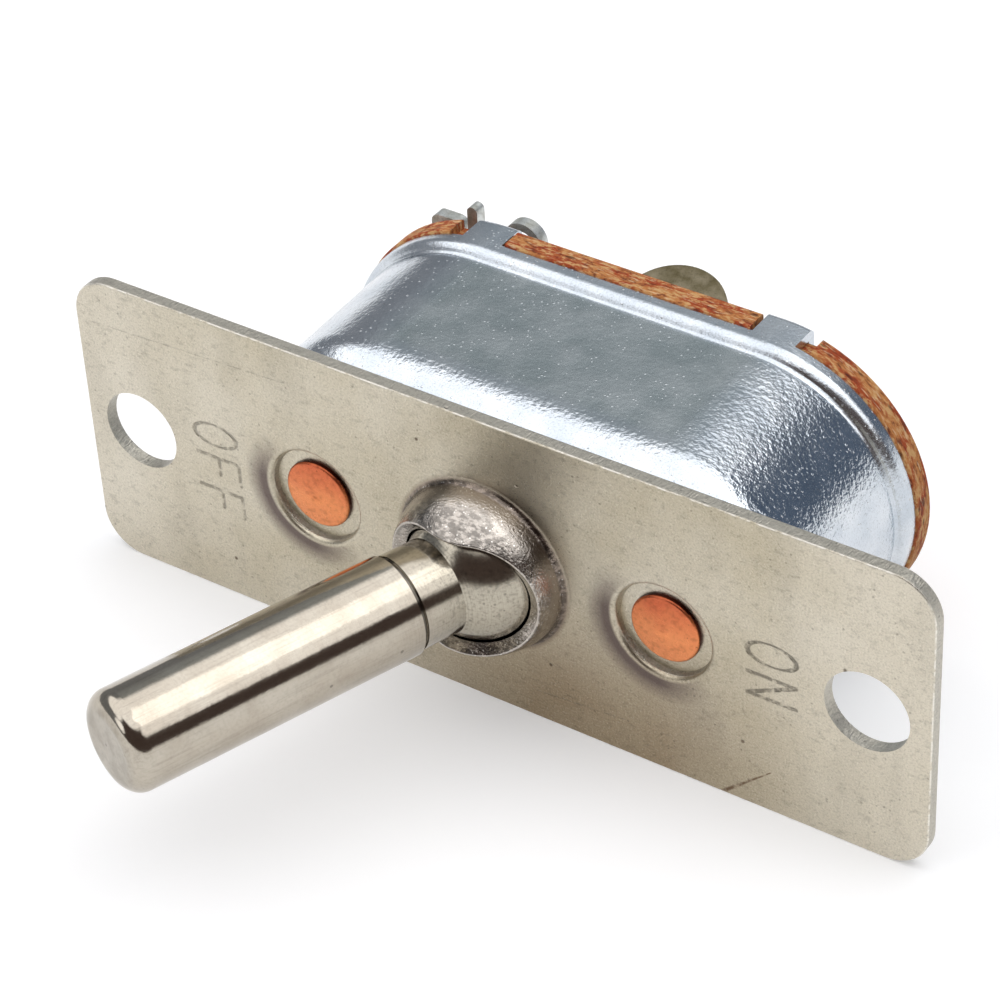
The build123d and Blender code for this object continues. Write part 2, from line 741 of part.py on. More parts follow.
small_rivet(-common_rivet_offset, 0, support_floor_y, terminal_face_y, "common_rivet_left")
small_rivet(common_rivet_offset, 0, support_floor_y, terminal_face_y, "common_rivet_right")
small_rivet(-on_rivet_x, on_rivet_offset, contact_face_y, terminal_face_y, "on_rivet_upper")
small_rivet(-on_rivet_x, -on_rivet_offset, contact_face_y, terminal_face_y, "on_rivet_lower")
small_rivet(stop_x, 0, stop_face_y + small_head_height, board_rear_y, "stop_rivet")
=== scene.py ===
# %% [markdown]
# # A panel-mounted lever light switch
# The metal parts, the fibre board and the rivets come ready-made from the CAD model, each as a
# closed mesh at its real size. This script gives every one of them its finish, adds the marks
# that a maker punches, presses and scratches into such parts, and lights them for a product
# picture. Lengths are in metres, because Blender and the CAD frame share that unit; a finish
# works in millimetres, because its grain and scratches are that small.

from math import cos, radians, sin

import bpy
from mathutils import Matrix, Vector


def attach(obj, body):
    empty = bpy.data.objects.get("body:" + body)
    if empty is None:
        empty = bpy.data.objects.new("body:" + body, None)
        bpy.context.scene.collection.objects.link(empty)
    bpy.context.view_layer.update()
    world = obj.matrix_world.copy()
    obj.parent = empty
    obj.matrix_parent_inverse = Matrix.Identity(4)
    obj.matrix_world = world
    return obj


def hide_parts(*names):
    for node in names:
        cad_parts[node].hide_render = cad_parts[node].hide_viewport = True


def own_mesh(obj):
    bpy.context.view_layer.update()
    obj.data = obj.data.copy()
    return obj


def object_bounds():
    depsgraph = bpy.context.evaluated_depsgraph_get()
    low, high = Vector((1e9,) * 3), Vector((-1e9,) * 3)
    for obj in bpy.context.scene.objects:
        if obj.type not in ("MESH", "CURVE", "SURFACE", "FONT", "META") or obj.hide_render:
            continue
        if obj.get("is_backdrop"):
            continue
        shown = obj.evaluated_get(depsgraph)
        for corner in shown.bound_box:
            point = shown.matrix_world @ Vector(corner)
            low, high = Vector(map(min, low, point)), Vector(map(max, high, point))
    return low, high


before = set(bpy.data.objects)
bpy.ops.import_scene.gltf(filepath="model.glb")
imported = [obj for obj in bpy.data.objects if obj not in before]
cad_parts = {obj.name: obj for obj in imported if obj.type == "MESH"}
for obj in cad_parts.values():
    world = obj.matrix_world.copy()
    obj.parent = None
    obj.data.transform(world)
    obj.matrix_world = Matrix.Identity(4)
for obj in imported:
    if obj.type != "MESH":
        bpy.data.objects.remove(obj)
MM = 0.001
low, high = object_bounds()
print("nodes:", sorted(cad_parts))

# %% [markdown]
# ## Camera
# A long lens flattens the object a little, as in a catalogue picture. The camera is placed from
# two angles and a distance round the point it looks at, and then rolled a little about its own
# line of sight, which is easier to read than a matrix.


# %% Helpers for directions and new objects
def toward(azimuth_deg, elevation_deg):
    """A direction, from an azimuth that turns from +Y towards +X and a height in degrees."""
    turn, rise = radians(azimuth_deg), radians(elevation_deg)
    return Vector((sin(turn) * cos(rise), cos(turn) * cos(rise), sin(rise)))


def put_in_scene(name, data):
    """A new object that shows some data, linked into the scene."""
    made = bpy.data.objects.new(name, data)
    bpy.context.scene.collection.objects.link(made)
    return made


# %% Place the camera
look_at = Vector((1.43, -0.9, 5.17)) * MM
toward_camera = toward(azimuth_deg=180 - 35.89, elevation_deg=38.01)
distance, roll = 197.5 * MM, radians(-3.36)
lens_mm, sensor_mm, nearest_seen_m = 126.57, 36, 0.01

sideways = Vector((0, 0, 1)).cross(toward_camera).normalized()
upward = toward_camera.cross(sideways)
rolled_side = sideways * cos(roll) + upward * sin(roll)
rolled_up = upward * cos(roll) - sideways * sin(roll)
turned_to_object = Matrix((rolled_side, rolled_up, toward_camera)).transposed().to_4x4()

camera = put_in_scene("camera", bpy.data.cameras.new("camera"))
camera.matrix_world = Matrix.Translation(look_at + toward_camera * distance) @ turned_to_object
camera.data.lens = lens_mm
camera.data.sensor_width = sensor_mm
camera.data.clip_start = nearest_seen_m
bpy.context.scene.camera = camera
bpy.context.scene.view_settings.view_transform = "Standard"
print("camera at", [round(v / MM, 1) for v in camera.location], "mm")

# %% [markdown]
# ## Node helpers
# A finish is a small network of nodes. A few short helpers keep each network readable: one adds
# a node and fills in its inputs, and the others stand for the few steps that every finish uses
# again and again. Most steps work on a strength, a number that is 1 where something is there,
# such as a scratch, and 0 where it isn't.


# %% Helpers that add one node
def fill(tree, socket, value):
    """Links a socket to another one, or writes a plain value on it."""
    if isinstance(value, bpy.types.NodeSocket):
        tree.links.new(value, socket)
    else:
        socket.default_value = value


def add(tree, kind, inputs=None, **settings):
    """Adds a node, sets its own settings, then fills its inputs by name or number."""
    made = tree.nodes.new(kind)
    for name, value in settings.items():
        setattr(made, name, value)
    for name, value in (inputs or {}).items():
        fill(tree, made.inputs[name], value)
    return made


def calc(tree, operation, *values):
    """The result of a Math node."""
    return add(tree, "ShaderNodeMath", dict(enumerate(values)), operation=operation).outputs[0]


def vector(tree, operation, *values):
    """The result of a Vector Math node: a number for a length or a dot product."""
    made = add(tree, "ShaderNodeVectorMath", dict(enumerate(values)), operation=operation)
    return made.outputs["Value" if operation in ("LENGTH", "DOT_PRODUCT") else "Vector"]


def scaled(tree, arrow, share):
    """A vector made longer or shorter by a number."""
    inputs = {0: arrow, "Scale": share}
    return add(tree, "ShaderNodeVectorMath", inputs, operation="SCALE").outputs["Vector"]


def parts(tree, place):
    """The x, y and z of a vector."""
    return add(tree, "ShaderNodeSeparateXYZ", {0: place}).outputs


def spread(tree, value, low_in, high_in, low_out=0.0, high_out=1.0):
    """Stretches a value between two limits onto another two, and stops at both ends."""
    limits = {"From Min": low_in, "From Max": high_in, "To Min": low_out, "To Max": high_out}
    return add(tree, "ShaderNodeMapRange", {"Value": value, **limits}).outputs["Result"]


def blend(tree, strength, first, second):
    """Mixes two colours: the first where the strength is 0, the second where it is 1."""
    inputs = {0: strength, 6: first, 7: second}
    return add(tree, "ShaderNodeMix", inputs, data_type="RGBA").outputs[2]


def looking(tree, axis):
    """1 where a surface looks along an axis, 0 where it runs along it, -1 where it looks back."""
    normal = add(tree, "ShaderNodeTexCoord").outputs["Normal"]
    return vector(tree, "DOT_PRODUCT", normal, tuple(axis))


# %% Helpers that put a few nodes together
def chain(tree, operation, values):
    """Joins several values by one operation, which a Math node does two at a time."""
    result = values[0]
    for value in values[1:]:
        result = calc(tree, operation, result, value)
    return result


def all_of(tree, *strengths):
    """Strong only where all of several strengths are; a plain number leaves that share of it."""
    return chain(tree, "MULTIPLY", strengths)


def any_of(tree, *strengths):
    """As strong as the strongest of several."""
    return chain(tree, "MAXIMUM", strengths)


def nearest(tree, distances):
    """The smallest of several distances."""
    return chain(tree, "MINIMUM", distances)


def apart(tree, value, other):
    """How far two values are from each other."""
    return calc(tree, "ABSOLUTE", calc(tree, "SUBTRACT", value, other))


def darken(tree, colour, strength, how_much):
    """Takes a share of the light out of a colour where the strength is 1."""
    kept = calc(tree, "SUBTRACT", 1.0, calc(tree, "MULTIPLY", strength, how_much))
    return vector(tree, "MULTIPLY", colour, kept)


# %% Helpers for patterns, with all sizes in millimetres
def stretched(tree, place, along_x=1.0, along_y=1.0, along_z=1.0):
    """Coordinates in which a pattern is drawn out along an axis by the given factor."""
    return vector(tree, "MULTIPLY", place, (1 / along_x, 1 / along_y, 1 / along_z))


def noise(tree, place, size, detail=2.0, roughness=0.5):
    """Noise from 0 to 1 whose blots are about size across."""
    inputs = {"Vector": place, "Scale": 1 / size, "Detail": detail, "Roughness": roughness}
    return add(tree, "ShaderNodeTexNoise", inputs).outputs["Fac"]


def specks(tree, place, spacing, share, largest):
    """1 inside round specks of random size, which only a share of the cells has."""
    cells = add(tree, "ShaderNodeTexVoronoi", {"Vector": place, "Scale": 1 / spacing})
    lot = add(tree, "ShaderNodeSeparateColor", {"Color": cells.outputs["Color"]})
    chosen = calc(tree, "LESS_THAN", lot.outputs[0], share)
    size = calc(tree, "MULTIPLY", lot.outputs[1], largest / spacing)
    outward = calc(tree, "DIVIDE", cells.outputs["Distance"], size)
    return all_of(tree, spread(tree, outward, 0.6, 1.0, 1.0, 0.0), chosen)


def to_line(tree, place, start, end):
    """Distance from a point to the straight line between two others."""
    start, end = Vector(start), Vector(end)
    run = end - start
    from_start = vector(tree, "SUBTRACT", place, tuple(start))
    along_run = vector(tree, "DOT_PRODUCT", from_start, tuple(run))
    share = calc(tree, "MULTIPLY", along_run, 1 / run.length_squared)
    foot = scaled(tree, tuple(run), spread(tree, share, 0.0, 1.0))
    return vector(tree, "LENGTH", vector(tree, "SUBTRACT", from_start, foot))


def to_ring(tree, place, middle, half_width, half_height):
    """Distance from a point to an upright oval in the flat of the plate, however deep it is."""
    offset = vector(tree, "SUBTRACT", place, middle)
    depth_ignored = 1e6
    rounded = vector(tree, "DIVIDE", offset, (half_height, depth_ignored, half_width))
    off_ring = apart(tree, vector(tree, "LENGTH", rounded), 1.0)
    return calc(tree, "MULTIPLY", off_ring, (half_width + half_height) / 2)


# %% Helpers that start and hand out a finish
def new_finish(name, **constants):
    """A material with one Principled shader, and the object's own coordinates in millimetres."""
    finish = bpy.data.materials.new(name)
    finish.use_nodes = True
    tree = finish.node_tree
    tree.nodes.clear()
    shader = add(tree, "ShaderNodeBsdfPrincipled", constants)
    add(tree, "ShaderNodeOutputMaterial", {"Surface": shader.outputs[0]})
    metres = add(tree, "ShaderNodeTexCoord").outputs["Object"]
    return finish, tree, shader, vector(tree, "MULTIPLY", metres, (1 / MM, 1 / MM, 1 / MM))


def relief(tree, shader, *layers):
    """Bumps on top of each other, each given as a height from 0 to 1 and its depth in mm."""
    normal = None
    for height, depth in layers:
        inputs = {"Height": height, "Distance": depth * MM}
        if normal is not None:
            inputs["Normal"] = normal
        normal = add(tree, "ShaderNodeBump", inputs).outputs["Normal"]
    tree.links.new(normal, shader.inputs["Normal"])


def dress(finish, *nodes):
    """Puts a finish on CAD nodes."""
    for name in nodes:
        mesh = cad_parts[name].data
        mesh.materials.clear()
        mesh.materials.append(finish)
    print(finish.name, "of", len(finish.node_tree.nodes), "nodes on", ", ".join(nodes))


# %% [markdown]
# ## Punched letters
# The plate tells the two positions apart by words stamped into its ends, one thin stroke at a
# time. OFF is at the left and ON at the right, and both are read with the left end down, so a
# letter's top points along +X and the word runs towards -Z. Each letter is a few straight lines
# or one oval in a box 1 wide and 1 high; the finish measures how far a point is from them.

# %% Letters and the lines they are made of
LINES = {
    "F": [((0, 0), (0, 1)), ((0, 1), (1, 1)), ((0, 0.52), (0.8, 0.52))],
    "N": [((0, 0), (0, 1)), ((0, 1), (1, 0)), ((1, 0), (1, 1))],
}
letter_height, letter_width, letter_pitch = 3.1, 1.55, 2.45
plate_front = -0.9


def punched(tree, place, word, foot_x, start_z):
    """Distance to a word whose letters stand on foot_x and begin at start_z."""
    distances = []
    for count, letter in enumerate(word):
        left = start_z - count * letter_pitch
        if letter == "O":
            middle = (foot_x + letter_height / 2, plate_front, left - letter_width / 2)
            distances.append(to_ring(tree, place, middle, letter_width / 2, letter_height / 2))
        for line in LINES.get(letter, []):
            ends = [
                (foot_x + up * letter_height, plate_front, left - across * letter_width)
                for across, up in line
            ]
            distances.append(to_line(tree, place, *ends))
    return nearest(tree, distances)


strokes = {letter: len(lines) for letter, lines in LINES.items()}
print("letters", letter_height, "mm high, with straight strokes:", strokes)

# %% [markdown]
# ## Nickel on the mounting plate
# The plate is rolled steel, drawn into a dome in the middle and then nickel plated. Nickel is a
# warm grey. On the flat it is satin and blurs what it mirrors. Below the lever it is painted
# brown as shade, where the lever's shadow is mirrored, and its ends are painted paler as light.
# The dome is smoother and mirrors more, over a fine pebbled grain with small painted glints. The
# sheared sides stay rough and grey, a painted highlight runs along the rounded edge round the
# plate, and the edges of the dome's slot are darkened as painted shade. Painted shade lies on one
# side of each rivet's recess and round the foot of the dome. Small pits and a few long scratches
# are what makes used plating look used, so they are few and uneven.
#
# All of it is one network, because the plate is one piece: masks say where each surface is,
# and the colour, the gloss and the relief are then laid on in turn. The first cells find out
# where a point is, the next ones what marks it, and the last ones what it looks like.

# %% Where the plate's surfaces are
nickel, tree, shader, place = new_finish("nickel_plate", Metallic=1.0)
dome_foot_radius, outside_dome = 5.5, 9.0
x_at, y_at, z_at = parts(tree, place)
from_axis = vector(tree, "LENGTH", vector(tree, "MULTIPLY", place, (1, 0, 1)))
facing = calc(tree, "ABSOLUTE", looking(tree, (0, 1, 0)))
on_front = spread(tree, y_at, plate_front + 0.3, plate_front + 0.1)
on_dome = all_of(tree, on_front, spread(tree, from_axis, dome_foot_radius + 0.3, dome_foot_radius))
on_flat = calc(tree, "SUBTRACT", on_front, on_dome)
off_dome = calc(tree, "SUBTRACT", 1.0, on_dome)
past_dome = spread(tree, from_axis, outside_dome, outside_dome + 0.5)
sheared = all_of(tree, spread(tree, facing, 0.45, 0.25), past_dome)
print("plate: dome", dome_foot_radius, "mm in radius, front at y", plate_front, "mm")

# %% Round the rivets' recesses
rivet_x, recess_radius, outside_recess = 12.0, 3.3, 4.2
toward_low_left = (-0.75, 0, -0.66)
own_rivet_x = calc(tree, "MULTIPLY", calc(tree, "SIGN", x_at), rivet_x)
from_rivet = {0: calc(tree, "SUBTRACT", x_at, own_rivet_x), 2: z_at}
from_rivet = add(tree, "ShaderNodeCombineXYZ", from_rivet).outputs[0]
off_rivet = vector(tree, "LENGTH", from_rivet)
low_left = vector(tree, "DOT_PRODUCT", from_rivet, toward_low_left)
low_left = spread(tree, calc(tree, "DIVIDE", low_left, off_rivet), -0.1, 0.7)
past_recess = spread(tree, off_rivet, recess_radius + 0.05, recess_radius + 0.25)
thinning = spread(tree, off_rivet, recess_radius + 1.8, recess_radius + 0.6)
# Painted shade on the lower left side of each recess, fading away from it.
recess_shade = all_of(tree, past_recess, low_left, thinning, on_front)
# A rounded edge is where the metal faces neither the front nor the side.
rounded = all_of(tree, spread(tree, facing, 0.97, 0.85), spread(tree, facing, 0.15, 0.45))
arris = all_of(tree, rounded, spread(tree, off_rivet, outside_recess, outside_recess + 0.3))
print("recesses", recess_radius, "mm in radius at x", -rivet_x, "and", rivet_x, "mm")

# %% Grain, pits and the painted shade round the foot of the dome
grain = noise(tree, place, 0.13, detail=4.0, roughness=0.65)
fine = noise(tree, place, 0.07, detail=2.0)
worms = noise(tree, stretched(tree, place, along_x=1.7), 0.34, detail=3.0, roughness=0.6)
clouds = noise(tree, place, 7.0, detail=4.0)
smears = noise(tree, stretched(tree, place, along_z=3), 2.4, detail=4.0)
pits = all_of(tree, specks(tree, place, 2.1, 0.3, 0.26), on_flat)
glints = all_of(tree, specks(tree, place, 0.17, 0.6, 0.065), on_dome)
dust = specks(tree, place, 0.45, 0.35, 0.10)
# Painted shade in the crease round the foot of the dome.
off_foot = apart(tree, from_axis, dome_foot_radius + 0.12)
foot_shade = all_of(tree, spread(tree, off_foot, 0.08, 0.4, 1.0, 0.0), on_front)
print("patterns of the plate:", len(tree.nodes), "nodes so far")

# %% Letters, struck unevenly and more lightly at the left
uneven = spread(tree, noise(tree, place, 0.5, detail=3.0), 0.36, 0.54, 0.15, 1.0)
word = nearest(tree, [
    punched(tree, place, "OFF", foot_x=-20.7, start_z=2.6),
    punched(tree, place, "ON", foot_x=17.5, start_z=2.1),
])
stroke = spread(tree, word, 0.05, 0.15, 1.0, 0.0)
fainter_left = spread(tree, x_at, -19.0, 15.0, 0.75, 1.0)
letters = all_of(tree, stroke, on_flat, uneven, fainter_left)
print("words on the plate:", len(tree.nodes), "nodes so far")

# %% Scratches, and a line of rust that narrows towards the right
scratch_ends = [
    ((-27.8, 7.1), (-13.5, 7.8)),
    ((-9.0, -6.4), (-6.2, -8.8)),
    ((3.0, -8.2), (9.4, -7.7)),
]
off_scratch = nearest(tree, [
    to_line(tree, place, (x1, plate_front, z1), (x2, plate_front, z2))
    for (x1, z1), (x2, z2) in scratch_ends
])
scratches = all_of(tree, spread(tree, off_scratch, 0.01, 0.07, 1.0, 0.0), uneven, 0.6)

rust_start, rust_end = (15.7, plate_front, -10.3), (19.0, plate_front, -7.3)
off_rust = to_line(tree, place, rust_start, rust_end)
rust_width = spread(tree, x_at, 15.5, 19.0, 0.2, 0.05)
rust = spread(tree, calc(tree, "DIVIDE", off_rust, rust_width), 0.3, 1.0, 1.0, 0.0)
rust = all_of(tree, rust, calc(tree, "MULTIPLY", uneven, 0.8))
print("scratches:", len(scratch_ends), "and one line of rust")

# %% Colour of the flat
dull_nickel, clear_nickel = (0.51, 0.455, 0.34, 1), (0.61, 0.56, 0.455, 1)
lit_nickel, lever_shade_brown = (0.68, 0.63, 0.53, 1), (0.29, 0.215, 0.13, 1)
colour = blend(tree, spread(tree, clouds, 0.32, 0.68), dull_nickel, clear_nickel)
# The ends of the plate are painted paler, as light.
lit_toward_ends = spread(tree, calc(tree, "ABSOLUTE", x_at), 18.0, 26.0, 0.0, 0.6)
colour = blend(tree, lit_toward_ends, colour, lit_nickel)
# Painted brown shade below the lever, where its shadow is mirrored.
lever_shade_middle_x = 7.0
lever_shade = all_of(
    tree,
    spread(tree, apart(tree, x_at, lever_shade_middle_x), 15.0, 4.0),
    spread(tree, z_at, 1.5, -8.0),
    spread(tree, clouds, 0.25, 0.6, 0.6, 1.0),
)
colour = blend(tree, lever_shade, colour, lever_shade_brown)
flat_colour = darken(tree, colour, spread(tree, smears, 0.5, 0.75), 0.10)
print("flat of the plate:", len(tree.nodes), "nodes so far")

# %% Colour of the dome and the sheared sides, and the grain on all of them
dome_dark, dome_light = (0.39, 0.345, 0.305, 1), (0.60, 0.555, 0.50, 1)
sheared_grey, grain_light = (0.53, 0.50, 0.43, 1), (0.78, 0.75, 0.68, 1)
dome_colour = blend(tree, spread(tree, grain, 0.32, 0.62), dome_dark, dome_light)
colour = blend(tree, on_dome, flat_colour, dome_colour)
colour = blend(tree, sheared, colour, sheared_grey)
colour = darken(tree, colour, spread(tree, grain, 0.50, 0.72), 0.30)
worm_marks = all_of(tree, spread(tree, worms, 0.54, 0.72), off_dome)
colour = darken(tree, colour, worm_marks, 0.20)
colour = blend(tree, spread(tree, grain, 0.46, 0.26, 0.0, 0.22), colour, grain_light)
colour = darken(tree, colour, dust, 0.32)
print("grain on the plate:", len(tree.nodes), "nodes so far")

# %% Painted shade and highlights, and marks from the oldest to the newest, laid over that colour
pit_brown, foot_shade_brown = (0.10, 0.065, 0.04, 1), (0.13, 0.085, 0.06, 1)
recess_shade_dark, rust_dark = (0.11, 0.08, 0.075, 1), (0.10, 0.045, 0.02, 1)
highlight_bright, glint_bright = (0.86, 0.83, 0.76, 1), (0.95, 0.92, 0.86, 1)
colour = blend(tree, all_of(tree, pits, 0.75), colour, pit_brown)
# Painted shade on one side of each rivet's recess.
colour = blend(tree, all_of(tree, recess_shade, 0.9), colour, recess_shade_dark)
# Painted shade in the crease round the foot of the dome.
colour = blend(tree, all_of(tree, foot_shade, 0.7), colour, foot_shade_brown)
# Painted light on the rounded edges: a highlight along the plate's outline, and shade on the edges
# round the dome and its slot.
arris_light_and_shade = all_of(tree, arris, spread(tree, worms, 0.4, 0.55))
outline_highlight = all_of(tree, arris_light_and_shade, past_dome)
dome_edge_shade = calc(tree, "SUBTRACT", arris_light_and_shade, outline_highlight)
colour = darken(tree, colour, dome_edge_shade, 0.55)
colour = blend(tree, all_of(tree, outline_highlight, 0.7), colour, highlight_bright)
# Small painted highlights as glints on the dome.
colour = blend(tree, all_of(tree, glints, 0.6), colour, glint_bright)
colour = darken(tree, colour, scratches, 0.40)
colour = blend(tree, rust, colour, rust_dark)
# The punched strokes are darkened as painted shade in their grooves.
colour = darken(tree, colour, letters, 0.5)
tree.links.new(colour, shader.inputs["Base Color"])
print("marks on the plate:", len(tree.nodes), "nodes so far")

# %% Gloss and relief of the plate
satin, smooth, rough = 0.29, 0.12, 0.40
gloss = spread(tree, on_dome, 0.0, 1.0, satin, smooth)
gloss = spread(tree, sheared, 0.0, 1.0, gloss, rough)
gloss = calc(tree, "ADD", gloss, spread(tree, grain, 0.3, 0.7, -0.04, 0.07))
gloss = calc(tree, "ADD", gloss, all_of(tree, letters, 0.2))
tree.links.new(gloss, shader.inputs["Roughness"])

shear_lines = noise(tree, stretched(tree, place, along_y=5), 0.10, detail=3.0)
shear_relief = all_of(tree, shear_lines, sheared)
dome_relief = all_of(tree, noise(tree, place, 0.15, detail=3.0), on_dome)
sunk = any_of(tree, letters, all_of(tree, scratches, 0.3), all_of(tree, pits, 0.4))
relief(
    tree, shader,
    (clouds, 0.05), (worms, 0.012), (grain, 0.010), (fine, 0.003),
    (shear_relief, 0.07), (dome_relief, 0.024), (calc(tree, "SUBTRACT", 1.0, sunk), 0.10),
)
dress(nickel, "mounting_plate")

# %% [markdown]
# ## Bright nickel on the lever
# The lever is turned on a lathe, polished and plated, so it is close to a mirror, and the long
# light and dark bands on it are its surroundings. The tool left very fine rings round it, which
# show on the ball and the neck, where no finger rubs them smooth, and polishing left strokes
# along the rod. Fine specks sit on the ball, the groove between the neck and the rod is darkened
# as painted shade, and the flat end that fingers push is darker and stained. A pattern needs to
# know how far along the lever a point is, so the first cell measures that: at rest the lever leans
# to the OFF side.
# A pattern is drawn out along the rod by sliding every point most of the way back to the ball.

# %% Coordinates along the lever
bright, tree, shader, place = new_finish("lever_nickel", Metallic=1.0)
off_tilt, groove_at, slid_back = radians(20), 6.84, 0.97
lever_axis = Vector((-sin(off_tilt), -cos(off_tilt), 0))
along = vector(tree, "DOT_PRODUCT", place, tuple(lever_axis))
axis_point = scaled(tree, tuple(lever_axis), along)
drawn_out = vector(tree, "SUBTRACT", place, scaled(tree, axis_point, slid_back))
only_along = add(tree, "ShaderNodeCombineXYZ", {0: along}).outputs[0]
near_ball = spread(tree, along, 7.0, 4.5)
turned = spread(tree, along, 10.0, 6.0, 0.15, 1.0)
# Painted shade in the groove between the neck and the rod.
groove = spread(tree, apart(tree, along, groove_at), 0.19, 0.13)
end_face = spread(tree, looking(tree, lever_axis), 0.85, 0.99)
print("lever axis", [round(v, 3) for v in lever_axis], "and its groove at", groove_at, "mm")

# %% Rings, strokes and specks on the lever
rings = noise(tree, only_along, 0.07, detail=3.0, roughness=0.7)
strokes = noise(tree, drawn_out, 0.16, detail=3.0, roughness=0.6)
haze = noise(tree, place, 2.2, detail=3.0)
rough_spots = noise(tree, place, 0.2, detail=3.0)
ball_specks = all_of(tree, specks(tree, place, 0.4, 0.5, 0.13), near_ball)
rare_specks = specks(tree, place, 1.5, 0.3, 0.17)
stains = spread(tree, noise(tree, place, 0.9, detail=4.0), 0.45, 0.62)
stains = all_of(tree, end_face, stains)
print("patterns of the lever:", len(tree.nodes), "nodes so far")

# %% Colour of the lever
light_nickel, hazy_nickel = (0.52, 0.475, 0.40, 1), (0.43, 0.38, 0.31, 1)
ball_nickel, stain_brown = (0.46, 0.42, 0.34, 1), (0.27, 0.24, 0.19, 1)
colour = blend(tree, spread(tree, haze, 0.3, 0.7), light_nickel, hazy_nickel)
colour = blend(tree, near_ball, colour, ball_nickel)
colour = darken(tree, colour, all_of(tree, spread(tree, rings, 0.48, 0.75), turned), 0.3)
colour = darken(tree, colour, spread(tree, strokes, 0.5, 0.75), 0.16)
ball_spots = all_of(tree, spread(tree, rough_spots, 0.5, 0.7), near_ball)
colour = darken(tree, colour, ball_spots, 0.25)
colour = darken(tree, colour, spread(tree, rough_spots, 0.48, 0.62), 0.06)
colour = darken(tree, colour, ball_specks, 0.4)
colour = darken(tree, colour, rare_specks, 0.45)
colour = darken(tree, colour, groove, 0.75)
colour = darken(tree, colour, end_face, 0.16)
colour = blend(tree, all_of(tree, stains, 0.6), colour, stain_brown)
tree.links.new(colour, shader.inputs["Base Color"])
print("colour of the lever:", len(tree.nodes), "nodes so far")

# %% Gloss and relief of the lever
gloss = spread(tree, haze, 0.3, 0.7, 0.09, 0.15)
gloss = calc(tree, "ADD", gloss, all_of(tree, near_ball, 0.05))
tree.links.new(gloss, shader.inputs["Roughness"])
turned_rings = all_of(tree, rings, turned)
relief(tree, shader, (turned_rings, 0.003), (strokes, 0.0015), (rough_spots, 0.002), (haze, 0.02))
dress(bright, "lever")

# %% [markdown]
# ## Zinc on the cup
# The cup is drawn from thin steel and zinc plated, which is bluer and brighter than nickel.
# Drawing stretches the metal round the bends and the ends and leaves them with a fine orange
# peel that sparkles, while the long flat walls keep the dull grain of the sheet with tiny bright
# flecks. The rim and the OFF end were pressed smoother, so the peel is shallower there.

# %% Where the cup's metal was stretched
zinc, tree, shader, place = new_finish("zinc_cup", Metallic=1.0)
wall_start, wall_end, half_straight = 4.2, 13.0, 9.65
x_at, y_at, _ = parts(tree, place)
in_bend = spread(tree, y_at, wall_start + 0.6, wall_start - 0.8)
in_end = spread(tree, calc(tree, "ABSOLUTE", x_at), half_straight - 0.5, half_straight + 1.5)
in_rim = spread(tree, y_at, wall_end, wall_end + 0.3)
stretched_metal = any_of(tree, in_bend, in_end, in_rim)
print("cup walls from y", wall_start, "to", wall_end, "mm")

# %% Colour of the cup
bend_dark, bend_light = (0.53, 0.58, 0.63, 1), (0.69, 0.725, 0.76, 1)
wall_dark, wall_light = (0.40, 0.45, 0.46, 1), (0.53, 0.57, 0.58, 1)
fleck_bright = (0.90, 0.92, 0.93, 1)
sheet = noise(tree, place, 0.1, detail=3.0, roughness=0.6)
cloud = noise(tree, place, 2.5, detail=4.0)
flecks = specks(tree, place, 0.23, 0.4, 0.085)
marks = specks(tree, place, 2.6, 0.35, 0.22)
bend_colour = blend(tree, spread(tree, cloud, 0.3, 0.7), bend_dark, bend_light)
wall_colour = blend(tree, spread(tree, cloud, 0.35, 0.65), wall_dark, wall_light)
colour = blend(tree, stretched_metal, wall_colour, bend_colour)
colour = darken(tree, colour, spread(tree, sheet, 0.5, 0.8), 0.3)
colour = darken(tree, colour, marks, 0.35)
colour = blend(tree, all_of(tree, flecks, 0.45), colour, fleck_bright)
tree.links.new(colour, shader.inputs["Base Color"])
print("colour of the cup:", len(tree.nodes), "nodes so far")

# %% Gloss and relief of the cup
dull_wall, bright_bend, duller_rim = 0.27, 0.13, 0.09
gloss = spread(tree, stretched_metal, 0.0, 1.0, dull_wall, bright_bend)
gloss = calc(tree, "ADD", gloss, spread(tree, sheet, 0.3, 0.7, -0.03, 0.06))
gloss = calc(tree, "ADD", gloss, spread(tree, in_rim, 0.0, 1.0, 0.0, duller_rim))
tree.links.new(gloss, shader.inputs["Roughness"])
peel = noise(tree, place, 0.27, detail=2.0, roughness=0.5)
peel_relief = all_of(
    tree, peel,
    spread(tree, stretched_metal, 0.0, 1.0, 0.25, 1.0),
    spread(tree, in_rim, 0.0, 1.0, 1.0, 0.3),
    spread(tree, x_at, -12.0, -8.0, 0.45, 1.0),
)
relief(tree, shader, (cloud, 0.05), (peel_relief, 0.045), (sheet, 0.007), (flecks, 0.012))
dress(zinc, "housing_cup")

# %% [markdown]
# ## Copper rivets
# Two copper rivets hold the plate, the cup and the seat together. A hammered copper head is
# satin and orange. The upper side of each head is painted a darker red as shade, unevenly, and
# the steep rim of each head is painted nearly black as shade.

# %% Finish of the copper rivets
copper, tree, shader, place = new_finish("copper", Metallic=1.0)
orange_copper, shaded_copper = (0.77, 0.275, 0.11, 1), (0.56, 0.135, 0.06, 1)
rim_shade_black = (0.07, 0.016, 0.01, 1)
z_at = parts(tree, place)[2]
facing = calc(tree, "ABSOLUTE", looking(tree, (0, 1, 0)))
dimples = noise(tree, place, 0.3, detail=3.0)
copper_blotches = noise(tree, place, 1.4, detail=3.0)
